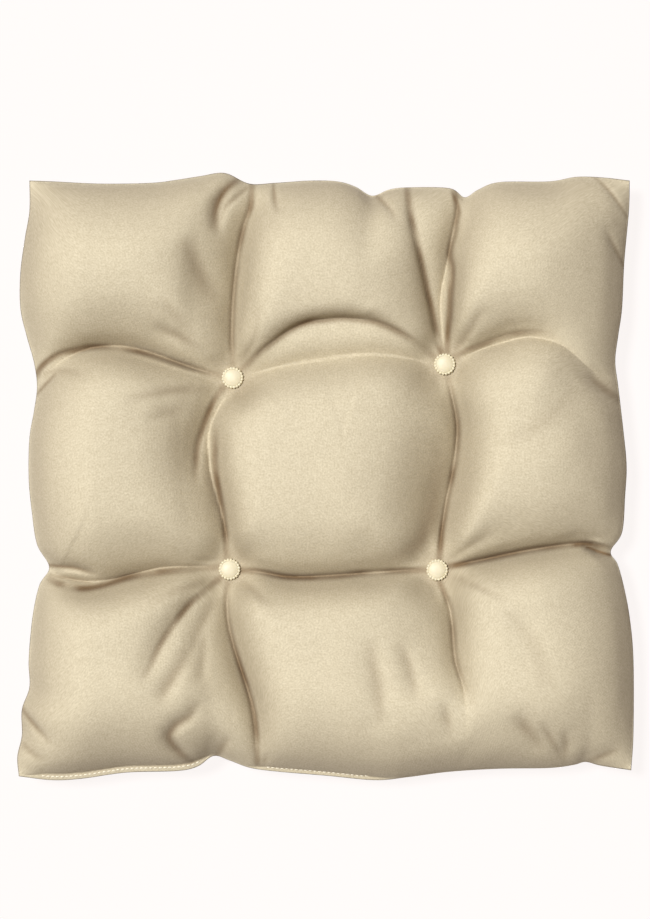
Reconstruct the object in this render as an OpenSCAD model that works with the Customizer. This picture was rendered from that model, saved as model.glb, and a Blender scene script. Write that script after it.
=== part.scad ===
// Square tufted seat pad: two fabric panels sewn together round a knife edge, stuffed with
// polyester fibre and pulled in at four tufts, each a pair of moulded buttons on a cord loop.
// The pad lies on its underside. The origin is the middle of its footprint, +Z is up,
// and the front edge, which holds the closing seam, faces -Y.

/* [Pad] */
// Width over the left and right edges
pad_w = 402; // [360:1:460]
// Depth over the front and back edges
pad_d = 396; // [360:1:460]
// Height of the crown of the middle pillow
pad_h = 80; // [65:1:100]
// Height of the edge seam above the seat
seam_z = 31; // [24:1:40]
// Width of the flat sewn lip outside the pillows
lip = 4.5; // [3:0.5:8]
// How far the edges are drawn in where a valley meets them
edge_pinch = 9; // [0:1:15]
// Modelled thickness of the fabric
cover_t = 1.2; // [1:0.1:2]

/* [Tufts] */
// Places of the tufts: back left, back right, front left, front right
tufts = [[-60.6, 65.6], [78.5, 74.5], [-62.6, -60], [73.6, -60.4]];
// Height of the top cover under a top button
tuft_top_z = 45; // [40:1:55]
// Height of the bottom cover over an underside button
tuft_bottom_z = 17; // [10:1:22]
// Share of the loft that a valley between two tufts takes away
valley_depth = 0.5; // [0:0.05:0.8]
// Half width of a valley
valley_w = 20; // [10:1:30]

/* [Buttons] */
// Diameter over the scallops of the rim
button_d = 15; // [12:0.5:20]
// Height of a button's dome over its underside
button_h = 4; // [3:0.5:6]
// Scallops round the rim
scallops = 20; // [12:1:28]
// Diameter of the shank that goes through the cover
shank_d = 5.6; // [5:0.2:7]
// Diameter of the twisted cord
cord_d = 1.2; // [0.8:0.1:1.6]

/* [Closing seam] */
// Left end of the topstitching
stitch_from = -184; // [-190:1:-100]
// Right end of the topstitching
stitch_to = 32; // [0:1:180]
// Length of one stitch
stitch_l = 2.3; // [1.5:0.1:4]
// Distance from stitch to stitch
stitch_pitch = 3.1; // [2.5:0.1:5]
// Diameter of the thread
thread_d = 0.6; // [0.4:0.1:1]

/* [Hidden] */

FABRIC = "#dfd5b8";
BUTTON = "#f0e8cc";
THREAD = "#f4efdc";
FIBRE = "#fbfbf8";

loft_up = pad_h - seam_z - cover_t;       // rise of the middle crown above the lip
loft_down = seam_z - cover_t + 7;         // drop of an underside pillow before the seat flattens it
squareness = 6;                           // how square a pillow's outline is
fullness = 0.42;                          // how steeply the pillows leave the lip
flat_r = 10;                              // the cover is flat this far round a tuft
tuft_w = 20;                              // distance over which the cover rises out of a tuft
pinch_w = 17;                             // half width of a pinch in the edge
gap = 0.3;                                // room between one soft layer and the next
hole_r = shank_d / 2 + 0.4;               // hole in the cover for a shank
channel_r = shank_d / 2 + 1.4;            // channel in the filling for a shank and its cord
margin_w = 7;                             // width of the turned-in seam margin
margin_t = 1.4;                           // two layers of fabric
margin_inset = 1.2;                       // from the lip's inner edge to the margin
shank_l = 7;                              // from a button's underside to its shank's end
lug_t = 2;                                // thickness of the flat lug that the eye goes through
eye_r = 1.15;                             // eye for the cord
eye_drop = 5;                             // from a button's underside to the eye's centre
bend_r = 2;                               // radius of the cord's bend through an eye
seat = 0.4;                               // a button's underside stands this far off the cover
coarse = 13.5;                            // longest side of a mesh cell away from the tufts
fine = 4.6;                               // longest side of a mesh cell at the tufts
tuft_zone = 14;                           // fine cells reach this far past the tufts

// ---- the pad's shape ----

function line_at(p, q, t) = p[1] + (q[1] - p[1]) * (t - p[0]) / (q[0] - p[0]);
function flip(p) = [p[1], p[0]];
function back_row(x) = line_at(tufts[0], tufts[1], x);
function front_row(x) = line_at(tufts[2], tufts[3], x);
function left_column(y) = line_at(flip(tufts[2]), flip(tufts[0]), y);
function right_column(y) = line_at(flip(tufts[3]), flip(tufts[1]), y);

// A bell that is 1 at t = 0 and falls away over w.
function bell(t, w) = exp(-pow(t / w, 2));

// What is left of the loft beside the four valleys.
function beside_valleys(x, y) =
    (1 - valley_depth * bell(y - back_row(x), valley_w)) *
    (1 - valley_depth * bell(y - front_row(x), valley_w)) *
    (1 - valley_depth * bell(x - left_column(y), valley_w)) *
    (1 - valley_depth * bell(x - right_column(y), valley_w));

// 0 at the lip, 1 in the middle of the pad.
function dome(x, y) =
    let (u = min(1, abs(x) / (pad_w / 2 - lip)), v = min(1, abs(y) / (pad_d / 2 - lip)))
    pow((1 - pow(u, squareness)) * (1 - pow(v, squareness)), fullness);

// 1 under a button, falling to 0 away from it.
function tuft_pull(x, y) = max([for (t = tufts) bell(max(0, norm([x, y] - t) - flat_r), tuft_w)]);

function loft(x, y) = dome(x, y) * beside_valleys(x, y);
function mix(a, b, t) = a + (b - a) * t;

function top_z(x, y) = mix(seam_z + cover_t + loft_up * loft(x, y), tuft_top_z, tuft_pull(x, y));
function bottom_z(x, y) = max(0, mix(seam_z - cover_t - loft_down * loft(x, y), tuft_bottom_z, tuft_pull(x, y)));

// How far a valley that ends at height or place t draws an edge in.
function pinch(t, a, b) = edge_pinch * (bell(t - a, pinch_w) + bell(t - b, pinch_w));
function drawn_in(x, y) = [
    x * (1 - pinch(y, front_row(x), back_row(x)) / (pad_w / 2)),
    y * (1 - pinch(x, left_column(y), right_column(y)) / (pad_d / 2))
];

// ---- the mesh grid: coarse cells, fine at the tufts ----

function steps(a, b, cell) = let (n = ceil((b - a) / cell)) [for (i = [0 : n - 1]) a + (b - a) * i / n];
function grid_lines(size, low, high) = concat(
    [-size / 2],
    steps(-size / 2 + lip, min(low) - tuft_zone, coarse),
    steps(min(low) - tuft_zone, max(low) + tuft_zone, fine),
    steps(max(low) + tuft_zone, min(high) - tuft_zone, coarse),
    steps(min(high) - tuft_zone, max(high) + tuft_zone, fine),
    steps(max(high) + tuft_zone, size / 2 - lip, coarse),
    [size / 2 - lip, size / 2]
);
xs = grid_lines(pad_w, [tufts[0][0], tufts[2][0]], [tufts[1][0], tufts[3][0]]);
ys = grid_lines(pad_d, [tufts[2][1], tufts[3][1]], [tufts[0][1], tufts[1][1]]);

function at_edge(i, n) = i == 0 || i == n - 1;

// A point of the top (up = 1) or bottom (up = -1) cover, taken in by inset from the outer face.
function cover_point(i, j, up, inset) =
    let (
        edge = at_edge(i, len(xs)) || at_edge(j, len(ys)),
        flat = drawn_in(xs[i], ys[j]),
        shrink = edge ? 0 : inset,
        z = up > 0 ? top_z(xs[i], ys[j]) : bottom_z(xs[i], ys[j])
    )
    [flat[0] * (1 - shrink / (pad_w / 2)), flat[1] * (1 - shrink / (pad_d / 2)), z - up * inset];

// The points of a layer over rows and columns first to last, lifted by dz.
function layer(up, inset, first, dz) = [
    for (j = [first : len(ys) - 1 - first], i = [first : len(xs) - 1 - first])
        cover_point(i, j, up, inset) + [0, 0, dz]
];

// A cell as two triangles, seen clockwise from above. Its diagonal points at the pad's nearest corner.
function cell(a, b, c, d, to_corner) = to_corner ? [[a, c, b], [a, d, c]] : [[a, d, b], [b, d, c]];
function turned(t) = [t[0], t[2], t[1]];
// The triangles over a grid, facing down when down is true.
function skin(nx, ny, start, down) = [
    for (j = [0 : ny - 2], i = [0 : nx - 2])
        let (a = start + j * nx + i, b = a + 1, c = b + nx, d = a + nx)
        for (t = cell(a, b, c, d, (i < nx / 2) == (j < ny / 2)))
            down ? turned(t) : t
];
// The outline of a layer's grid, anticlockwise from above.
function rim(nx, ny) = concat(
    [for (i = [0 : nx - 2]) i],
    [for (j = [0 : ny - 2]) (j + 1) * nx - 1],
    [for (i = [0 : nx - 2]) nx * ny - 1 - i],
    [for (j = [0 : ny - 2]) (ny - 1 - j) * nx]
);
function wall(loop, below) = [
    for (k = [0 : len(loop) - 1])
        let (a = loop[k], b = loop[(k + 1) % len(loop)])
        each [[a, b, b + below], [a, b + below, a + below]]
];

// A closed solid between an upper and a lower layer of the same grid.
module between(upper, lower, first) {
    nx = len(xs) - 2 * first;
    ny = len(ys) - 2 * first;
    polyhedron(
        points = concat(upper, lower),
        faces = concat(skin(nx, ny, 0, false), skin(nx, ny, nx * ny, true), wall(rim(nx, ny), nx * ny)),
        convexity = 8
    );
}

module tuft_holes(radius) {
    for (t = tufts)
        translate([t[0], t[1], -1])
            cylinder(r = radius, h = pad_h + 2, $fn = 48);
}

// ---- soft parts ----

module top_cover() {
    color(FABRIC)
        difference() {
            between(layer(1, 0, 0, 0), layer(1, cover_t, 0, 0), 0);
            tuft_holes(hole_r);
        }
}

module bottom_cover() {
    color(FABRIC)
        difference() {
            between(layer(-1, cover_t, 0, 0), layer(-1, 0, 0, 0), 0);
            tuft_holes(hole_r);
        }
}

// The filling stops short of the edge, where the seam margins lie.
module fibre_filling() {
    color(FIBRE)
        difference() {
            between(layer(1, cover_t, 2, -gap), layer(-1, cover_t, 2, gap), 2);
            tuft_holes(channel_r);
        }
}

// ---- seams ----

outline_steps = 28;
function side(a, b) = [for (k = [0 : outline_steps - 1]) mix(a, b, k / outline_steps)];
function outline(inset) =
    let (w = pad_w / 2, d = pad_d / 2)
    [
        for (p = concat(side([-w, -d], [w, -d]), side([w, -d], [w, d]), side([w, d], [-w, d]), side([-w, d], [-w, -d])))
            let (q = drawn_in(p[0], p[1]))
            [q[0] * (1 - inset / w), q[1] * (1 - inset / d)]
    ];

// A flat band that follows the edge between two distances from it.
module edge_band(inset, width, height) {
    linear_extrude(height = height)
        difference() {
            polygon(outline(inset));
            polygon(outline(inset + width));
        }
}

margin_from = lip + cover_t + margin_inset;

// The raw edges of both panels, turned inwards.
module seam_margin() {
    color(FABRIC)
        translate([0, 0, seam_z - margin_t / 2])
            edge_band(margin_from, margin_w, margin_t);
}

// The row of stitching that joins the panels, along the margin.
module edge_seam_thread() {
    color(THREAD)
        translate([0, 0, seam_z + margin_t / 2 + 0.02])
            edge_band(margin_from + 0.8, thread_d, thread_d);
}

// Topstitching through the lip, where the pad was closed after stuffing, on both faces.
module closing_stitches() {
    count = floor((stitch_to - stitch_from) / stitch_pitch);
    color(THREAD)
        for (k = [0 : count], face = [-1, 1]) {
            x = stitch_from + k * stitch_pitch;
            spot = drawn_in(x, -pad_d / 2);
            translate([spot[0], spot[1] + lip / 2, seam_z + face * (cover_t + thread_d / 2 + 0.02)])
                rotate([0, 90, 0])
                    cylinder(d = thread_d, h = stitch_l, center = true, $fn = 24);
        }
}

// ---- tufts ----

// A scalloped cap with a low dome, and under it a round shank that ends in a flat lug with an eye.
module button() {
    scallop_r = 0.85;
    cap_r = button_d / 2 - scallop_r;
    rim_h = 1.7;
    dome_h = button_h - rim_h;
    dome_r = (pow(cap_r, 2) + pow(dome_h, 2)) / (2 * dome_h);
    linear_extrude(height = rim_h)
        union() {
            circle(r = cap_r, $fn = 96);
            for (k = [0 : scallops - 1])
                rotate(k * 360 / scallops)
                    translate([cap_r, 0])
                        circle(r = scallop_r, $fn = 24);
        }
    translate([0, 0, rim_h])
        intersection() {
            translate([0, 0, dome_h - dome_r])
                sphere(r = dome_r, $fn = 96);
            cylinder(r = cap_r + 1, h = dome_h + 1, $fn = 96);
        }
    difference() {
        translate([0, 0, -shank_l])
            cylinder(d = shank_d, h = shank_l, $fn = 48);
        for (flat = [-1, 1])
            translate([-shank_d, flat > 0 ? lug_t / 2 : -lug_t / 2 - shank_d, -shank_l - 1])
                cube([2 * shank_d, shank_d, shank_l]);
        translate([0, 0, -eye_drop])
            rotate([90, 0, 0])
                cylinder(r = eye_r, h = 2 * shank_d, center = true, $fn = 48);
    }
}

module top_button(t) {
    color(BUTTON)
        translate([t[0], t[1], tuft_top_z + seat])
            button();
}

module under_button(t) {
    color(BUTTON)
        translate([t[0], t[1], tuft_bottom_z - seat])
            rotate([180, 0, 0])
                button();
}

// Half a turn of cord over the bottom of an eye, opening towards -Z.
module cord_bend() {
    rotate([90, 0, 90])
        rotate_extrude(angle = 180, $fn = 64)
            translate([bend_r, 0])
                circle(d = cord_d, $fn = 24);
}

// A closed loop of cord through the eyes of a top and an underside button.
module tuft_cord(t) {
    top = tuft_top_z + seat - eye_drop - bend_r;
    bottom = tuft_bottom_z - seat + eye_drop + bend_r;
    color(THREAD)
        translate([t[0], t[1], 0]) {
            translate([0, 0, top])
                cord_bend();
            translate([0, 0, bottom])
                mirror([0, 0, 1])
                    cord_bend();
            for (strand = [-1, 1])
                translate([0, strand * bend_r, bottom])
                    cylinder(d = cord_d, h = top - bottom, $fn = 24);
        }
}

top_cover();
bottom_cover();
fibre_filling();
seam_margin();
edge_seam_thread();
closing_stitches();
top_button(tufts[0]);  // top_button_back_left
top_button(tufts[1]);  // top_button_back_right
top_button(tufts[2]);  // top_button_front_left
top_button(tufts[3]);  // top_button_front_right
under_button(tufts[0]);  // under_button_back_left
under_button(tufts[1]);  // under_button_back_right
under_button(tufts[2]);  // under_button_front_left
under_button(tufts[3]);  // under_button_front_right
tuft_cord(tufts[0]);  // tuft_cord_back_left
tuft_cord(tufts[1]);  // tuft_cord_back_right
tuft_cord(tufts[2]);  // tuft_cord_front_left
tuft_cord(tufts[3]);  // tuft_cord_front_right
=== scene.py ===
"""Looks of a square tufted seat pad: two fabric panels sewn round a knife edge, stuffed with fibre
and pulled in by four tufts, each a pair of moulded buttons on a cord.

Lists of places are in millimetres in the frame of the CAD model: x to the right, y to the back and
z up. Arrays of points stay in millimetres until a mesh is made of them.
"""

import math

import bpy
import numpy as np
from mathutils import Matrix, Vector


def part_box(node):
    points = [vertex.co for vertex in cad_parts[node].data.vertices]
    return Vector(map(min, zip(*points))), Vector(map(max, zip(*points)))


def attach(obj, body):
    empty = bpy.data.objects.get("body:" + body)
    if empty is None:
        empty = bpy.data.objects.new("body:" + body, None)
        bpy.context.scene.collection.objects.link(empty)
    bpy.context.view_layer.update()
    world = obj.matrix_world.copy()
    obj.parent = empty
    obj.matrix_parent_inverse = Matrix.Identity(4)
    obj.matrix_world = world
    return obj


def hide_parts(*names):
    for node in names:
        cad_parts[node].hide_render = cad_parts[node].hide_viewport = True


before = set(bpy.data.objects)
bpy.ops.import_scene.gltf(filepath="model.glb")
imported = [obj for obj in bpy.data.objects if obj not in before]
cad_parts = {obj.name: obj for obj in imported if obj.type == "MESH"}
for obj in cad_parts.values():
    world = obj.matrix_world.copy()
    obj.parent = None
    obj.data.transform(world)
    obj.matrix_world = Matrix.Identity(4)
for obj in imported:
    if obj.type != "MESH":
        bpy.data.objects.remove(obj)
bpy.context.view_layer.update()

MM = 0.001
TUFT_NAMES = ["back_left", "back_right", "front_left", "front_right"]


def box_mm(node):
    """The lowest and highest corners of a CAD node, in millimetres."""
    low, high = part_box(node)
    return np.array(low) / MM, np.array(high) / MM


TUFTS = np.array([np.mean(box_mm("top_button_" + name), 0)[:2] for name in TUFT_NAMES])
SEAM_Z = float(np.mean(box_mm("seam_margin"), 0)[2])
CROWN_Z = float(box_mm("top_cover")[1][2])
BUTTON_H = 4.0
TOP_SEAT_Z = float(box_mm("top_button_back_left")[1][2]) - BUTTON_H
UNDER_SEAT_Z = float(box_mm("under_button_back_left")[0][2]) + BUTTON_H
COVER_T = 0.8
GRID = 321
LIP_ROW = 4
SIDES = (np.s_[0, :], np.s_[-1, :], np.s_[:, 0], np.s_[:, -1])

# ---- the seam, seen from above: each side from one corner to the other ----

SEAM_LEFT = [
    (-202, -197), (-203, -184), (-200, -170), (-200, -153), (-195, -138), (-195.5, -120), (-193, -92),
    (-188.5, -71), (-182, -59), (-190, -44), (-193.5, -22), (-195.5, 0), (-195, 26), (-192, 44),
    (-190, 60), (-192, 76), (-197, 94), (-201, 112), (-201, 135), (-198, 158), (-195, 176), (-195, 196),
]
SEAM_RIGHT = [
    (202, -193), (203.5, -168), (203.5, -120), (201, -92), (197, -71), (193, -57), (188.5, -48.5),
    (196, -36), (198, -12), (199, 8), (197, 30), (193.5, 60), (191.5, 77), (193.5, 94), (196, 112),
    (197.5, 143), (200.5, 176), (201, 196),
]
SEAM_FRONT = [
    (-202, -197), (-180, -199.5), (-160, -198.5), (-131, -194.5), (-98, -193.5), (-84, -190.5),
    (-73.5, -183.5), (-63, -186.5), (-49, -191.5), (-30, -194), (0, -196.5), (33, -199.5), (55, -197.5),
    (82, -194), (115, -192), (148, -191.5), (164, -189.5), (172, -187.5), (182, -190), (202, -193),
]
SEAM_BACK = [
    (-195, 196), (-180, 195.5), (-148, 194), (-115, 194.5), (-98, 196.5), (-82, 199), (-66, 201),
    (-50, 194), (-33, 194.5), (-10, 196), (8, 195.5), (20, 192), (31, 186), (42, 190), (54, 191.5),
    (82, 191), (92, 185), (101, 190), (115, 195), (148, 195.5), (166, 198.5), (184, 198), (201, 196),
]

# ---- valleys between pillows: how far each reaches to the left and right of its direction of travel,
# ---- then places with its depth there, as a share of the loft ----

VALLEYS = {
    "back_row": (62, 40, [
        (-190, 61, 0.22), (-174, 76, 0.32), (-154, 85, 0.38), (-134, 86.5, 0.4), (-115, 82.5, 0.4),
        (-92, 74, 0.38), (-68, 66.5, 0.34), (-60.6, 65.6, 0.33), (-45, 69, 0.32), (-23, 74, 0.3),
        (10, 79, 0.28), (30, 80.5, 0.28), (50, 79, 0.3), (70, 75, 0.33), (78.5, 74.5, 0.33), (90, 79, 0.33),
        (102, 84, 0.3), (118, 89, 0.26), (134, 92, 0.22), (154, 87, 0.18), (175, 70, 0.18), (192, 66, 0.2),
    ]),
    "front_row": (66, 36, [
        (-182, -59, 0.24), (-174, -65, 0.32), (-157, -68, 0.38), (-141, -67, 0.4), (-121, -62, 0.4),
        (-102, -58.5, 0.38), (-69.5, -58.5, 0.34), (-62.6, -60, 0.33), (-43, -62, 0.35), (-23, -65, 0.36),
        (3, -64, 0.36), (36, -62, 0.36), (60, -60.4, 0.34), (73.6, -60.4, 0.33), (85, -57.5, 0.35),
        (102, -54, 0.36), (128, -48.5, 0.34), (154, -44.5, 0.3), (174, -43, 0.28), (190, -47, 0.25),
    ]),
    "left_column": (36, 76, [
        (-49, 194, 0.22), (-49, 178, 0.34), (-53, 166, 0.38), (-57, 146, 0.4), (-60, 119, 0.4),
        (-61, 91, 0.36), (-60.6, 65.6, 0.33), (-70, 45, 0.36), (-76, 30, 0.38), (-75, 5, 0.38),
        (-70, -15, 0.37), (-65, -35, 0.35), (-62.6, -60, 0.33), (-64, -80, 0.36), (-63.6, -93, 0.38),
        (-61, -106, 0.38), (-56, -123, 0.37), (-50.5, -139, 0.35), (-46.5, -155, 0.3), (-45, -172, 0.25),
        (-46, -190, 0.2),
    ]),
    "right_column": (36, 82, [
        (88, 186, 0.3), (86, 172, 0.36), (80, 140, 0.38), (76, 117, 0.38), (77, 97, 0.35),
        (78.5, 74.5, 0.35), (84, 51, 0.42), (87, 35, 0.46), (86.5, 21.5, 0.48), (85, 12, 0.5),
        (83, -1, 0.54), (80, -14.5, 0.56), (77, -34, 0.5), (73.6, -60.4, 0.36), (80, -80, 0.34),
        (83, -93, 0.3), (85, -119, 0.2), (90, -136, 0.11), (92, -160, 0.04), (90, -190, 0),
    ]),
}
SHOULDER_SHARE = 0.55
SHOULDER_ROUND = 1.7
LEVEL_START = 0.9

# ---- how far in from the left, right, front and back sides each cover goes on rising ----

TOP_REACHES = (46, 70, 60, 54)
UNDER_REACHES = (52, 52, 52, 52)

# ---- how much longer the threads are than the drawn surface: everywhere, at the tufts, at the seam ----

EXTRA_CLOTH = 0.02
EXTRA_AT_TUFTS = 0.04
EXTRA_AT_SEAM = 0.03

# ---- how firmly the filling holds loose cloth, a crease holds it, and the seam holds it ----

LOOSE_HOLD = 0.02
CREASE_HOLD = 0.9
SEAM_HOLD = 0.6

# ---- how far the stuffing stays from the cloth ----

STUFFING_GAP = 2.5

# ---- the share of the painted crease shade on steep fabric, and round the tufts ----

STEEP_PAINTED_SHADE = 0.48
TUFT_PAINTED_SHADE = 0.3

# ---- shares of the pad's width and depth where the rows and columns of the cloth follow creases ----

ROWS_AT = (0.345, 0.716)
COLUMNS_AT = (0.334, 0.704)

# ---- curves and grids ----


def smooth_through(points, count):
    """A Catmull-Rom curve through the points: a cubic for each span whose slope at a point is half the
    step from the point before to the point after. Returned as count rows, evenly spaced in plan."""
    p = np.asarray(points, float)
    q = np.vstack([2 * p[0] - p[1], p, 2 * p[-1] - p[-2]])
    t = np.linspace(0, 1, 10, endpoint=False)[:, None]
    a, b, c, d = (q[i:i + len(p) - 1, None] for i in range(4))
    spans = 0.5 * (2 * b + (c - a) * t + (2 * a - 5 * b + 4 * c - d) * t**2 + (3 * b - a - 3 * c + d) * t**3)
    dense = np.vstack([spans.reshape(-1, p.shape[1]), p[-1:]])
    run = np.r_[0, np.cumsum(np.hypot(*np.diff(dense[:, :2], axis=0).T))]
    at = np.linspace(0, run[-1], count)
    return np.stack([np.interp(at, run, dense[:, k]) for k in range(p.shape[1])], -1)


def crowded(count, places):
    """count shares from 0 to 1, closer together at both ends and at the places: the crowding is 1 plus a
    bell at each of them, and equal amounts of it lie between neighbours."""
    fine = np.linspace(0, 1, 4001)
    crowd = 1 + 1.4 * np.exp(-((fine / 0.05) ** 2)) + 1.4 * np.exp(-(((1 - fine) / 0.05) ** 2))
    for place in places:
        crowd += 1.3 * np.exp(-(((fine - place) / 0.035) ** 2))
    run = np.r_[0, np.cumsum((crowd[1:] + crowd[:-1]) / 2)]
    return np.interp(np.linspace(0, run[-1], count), run, fine)


def drawn_to(shares, across, along, places, lines):
    """Moves grid lines sideways onto creases: the line at each place goes to where the crease is, and the
    lines between follow in proportion. shares says where each point is now, as a share of the pad, with
    the grid lines to move as rows; across and along are its coordinates the two ways."""
    count = len(shares)
    start_shares = shares.mean(1)
    knots = [0, *(int(np.argmin(np.abs(start_shares - place))) for place in places), count - 1]
    moves = np.zeros((len(knots), shares.shape[1]))
    for k, line in enumerate(lines, 1):
        order = np.argsort(line[:, 0])
        target = np.interp(along[knots[k]], line[order, 0], line[order, 1])
        moves[k] = (target - across[knots[k]]) / (across[-1] - across[0])
    at = np.interp(np.arange(count), knots, np.arange(len(knots)))
    low = np.clip(at.astype(int), 0, len(knots) - 2)
    t = (at - low)[:, None]
    return shares + (1 - t) * moves[low] + t * moves[low + 1]


def plan_inside_seam(count):
    """Places (count, count, 2) inside the seam, rows from front to back. A Coons patch: the blend of the
    front and back curves, plus the blend of the left and right curves, less the blend of the corners.
    Two rows and two columns are drawn onto the main creases."""
    fine = np.linspace(0, 1, 2001)
    seams = [smooth_through(side, len(fine)) for side in (SEAM_FRONT, SEAM_BACK, SEAM_LEFT, SEAM_RIGHT)]

    def patch(s, t):
        front, back, left, right = (np.dstack([np.interp(at, fine, seam[:, k]) for k in (0, 1)])
                                    for at, seam in zip((s, s, t, t), seams))
        s, t = s[..., None], t[..., None]
        corners = (1 - s) * ((1 - t) * seams[0][0] + t * seams[1][0])
        corners = corners + s * ((1 - t) * seams[0][-1] + t * seams[1][-1])
        return (1 - t) * front + t * back + (1 - s) * left + s * right - corners

    lines = {name: np.concatenate([smooth_through(TOP_CREASES[part][2], 60)[:, :2] for part in parts])
             for name, parts in FOLLOWED.items()}
    rows = [lines["front_row"], lines["back_row"]]
    columns = [lines["left_column"][:, ::-1], lines["right_column"][:, ::-1]]
    s, t = np.meshgrid(crowded(count, COLUMNS_AT), crowded(count, ROWS_AT))
    for _ in range(4):
        x, y = np.moveaxis(patch(s, t), -1, 0)
        new_t = drawn_to(t, y, x, ROWS_AT, rows)
        s = drawn_to(s.T, x.T, y.T, COLUMNS_AT, columns).T
        t = new_t
    return patch(s, t)


def beside_route(plan, route, reach):
    """For each place: how far it is from the route in plan, which side it is on (1 for the left of the
    direction of travel, -1 for the right) and the route's depth at the nearest point."""
    line = smooth_through(route, 56)
    shape = plan.shape[:2]
    far, side, depth = np.full(shape, 1e3), np.ones(shape), np.zeros(shape)
    close = np.all((plan > line[:, :2].min(0) - reach) & (plan < line[:, :2].max(0) + reach), -1)
    p = plan[close]
    best, which, value = np.full(len(p), 1e6), np.ones(len(p)), np.zeros(len(p))
    for start, end in zip(line[:-1], line[1:]):
        step = end[:2] - start[:2]
        away = p - start[:2]
        t = np.clip(away @ step / (step @ step), 0, 1)
        gap = away - t[:, None] * step
        d = np.hypot(gap[:, 0], gap[:, 1])
        nearer = d < best
        best[nearer] = d[nearer]
        which[nearer] = np.where(step[0] * gap[nearer, 1] - step[1] * gap[nearer, 0] < 0, -1, 1)
        value[nearer] = start[2] + t[nearer] * (end[2] - start[2])
    far[close], side[close], depth[close] = best, which, value
    return far, side, depth


def normals(points):
    """Unit normals of a grid: the cross product of the steps to its neighbours both ways."""
    n = np.cross(np.gradient(points, axis=1), np.gradient(points, axis=0))
    return n / (np.linalg.norm(n, axis=-1, keepdims=True) + 1e-9)


def spread_out(a):
    """The sum of the four neighbours less four times the point itself, 0 on the border."""
    out = np.zeros_like(a)
    out[1:-1, 1:-1] = a[:-2, 1:-1] + a[2:, 1:-1] + a[1:-1, :-2] + a[1:-1, 2:] - 4 * a[1:-1, 1:-1]
    return out


def lumps(count, size, seed):
    """Smooth random heights, about -1 to 1, with lumps of about size places across."""
    rng = np.random.default_rng(seed)
    coarse = rng.standard_normal((max(4, count // size), max(4, count // size)))
    at = np.linspace(0, len(coarse) - 1, count)
    low = np.clip(at.astype(int), 0, len(coarse) - 2)
    f = at - low
    f = f * f * (3 - 2 * f)
    rows = coarse[low] * (1 - f)[:, None] + coarse[low + 1] * f[:, None]
    return (rows[:, low] * (1 - f) + rows[:, low + 1] * f) / 1.5


# ---- the cover as it is drawn, before the cloth settles ----


def edge_rise(inset, reach):
    """Share of the height at a distance in from the seam: one less the square of the share of the reach
    that is left, all to the power 0.75, so it leaves the seam steeply and ends level."""
    left = np.clip(1 - inset / reach, 0, 1)
    return (1 - left**2) ** 0.75


def insets(plan):
    """Distances in from the left, right, front and back sides of the seam."""
    x, y = plan[..., 0], plan[..., 1]
    return x - x[:, :1], x[:, -1:] - x, y - y[:1], y[-1:] - y


def rounded(far):
    """A distance from a line that starts level, over the first millimetre or so."""
    return np.hypot(far, LEVEL_START) - LEVEL_START


def loft_share(plan, creases, lips, reaches):
    """Share of the full height at each place: the rises from the four sides, less what the valleys take,
    times what each crease leaves. Next to a valley a pillow is a wide dome, the square of the closeness,
    times a round shoulder, an arc that meets the valley steeply and leaves it level; two valleys that
    meet take the cube root of the sum of their cubes. A crease takes its depth times an exponential
    spike, whose width differs between its two sides. Also returns how firmly the creases hold the
    cloth, and how much painted shade darkens the cloth along them, both from 0 to 1."""
    share, held, shade = (value * np.ones(plan.shape[:2]) for value in (1.0, 0.0, 0.0))
    for inset, lip, reach in zip(insets(plan), lips, reaches):
        share = share * edge_rise(np.clip(inset - lip, 0, None), reach)
    taken = np.zeros(plan.shape[:2])
    for left_reach, right_reach, route in VALLEYS.values():
        far, side, depth = beside_route(plan, route, max(left_reach, right_reach))
        near = rounded(far) / np.where(side > 0, left_reach, right_reach)
        dome = np.clip(1 - near, 0, 1) ** 2
        left = np.clip(1 - near / SHOULDER_SHARE, 0, 1)
        shoulder = 1 - (1 - left**SHOULDER_ROUND) ** (1 / SHOULDER_ROUND)
        taken = taken + (1 - (1 - 1.15 * depth * dome) * (1 - 1.2 * depth * shoulder)) ** 3
    share = share * (1 - np.cbrt(taken))
    for left_w, right_w, route in creases.values():
        far, side, depth = beside_route(plan, route, 5 * max(left_w, right_w))
        far = rounded(far)
        share = share * (1 - depth * np.exp(-far / np.where(side > 0, left_w, right_w)))
        held = np.maximum(held, np.clip(depth / 0.12, 0, 1) * np.exp(-((far / 3.5) ** 2)))
        # painted shade: a narrow dark line along each crease, darker where it is deeper, uneven along its
        # length
        shade = np.maximum(shade, np.clip(depth / 0.22, 0, 0.85) * np.exp(-((far / 1.7) ** 2)))
    return share, held, shade * np.clip(0.8 + 0.35 * lumps(len(plan), 8, 21), 0, 1)


def fold_heights(plan, folds):
    """Heights of the small folds: each a bell across its route. Also returns how firmly they hold the
    cloth and how much painted shade darkens it in the hollow ones."""
    height, held, shade = (np.zeros(plan.shape[:2]) for _ in range(3))
    for width, route in folds.values():
        far, _, rise = beside_route(plan, route, 3 * width)
        bell = np.exp(-((far / width) ** 2))
        height = height + rise * bell
        held = np.maximum(held, bell * np.clip(np.abs(rise), 0, 1))
        # painted shade in the hollow folds, the deeper the darker
        shade = np.maximum(shade, np.clip(-rise / 7, 0, 0.9) * bell**3)
    return height, held, shade


def pull_of_tufts(plan, flat_r, width):
    """1 under a button, falling away as a bell past flat_r."""
    far = np.hypot(plan[None, ..., 0] - TUFTS[:, 0, None, None], plan[None, ..., 1] - TUFTS[:, 1, None, None])
    return np.exp(-((np.clip(far - flat_r, 0, None) / width) ** 2)).max(0)


# ---- cloth ----


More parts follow.
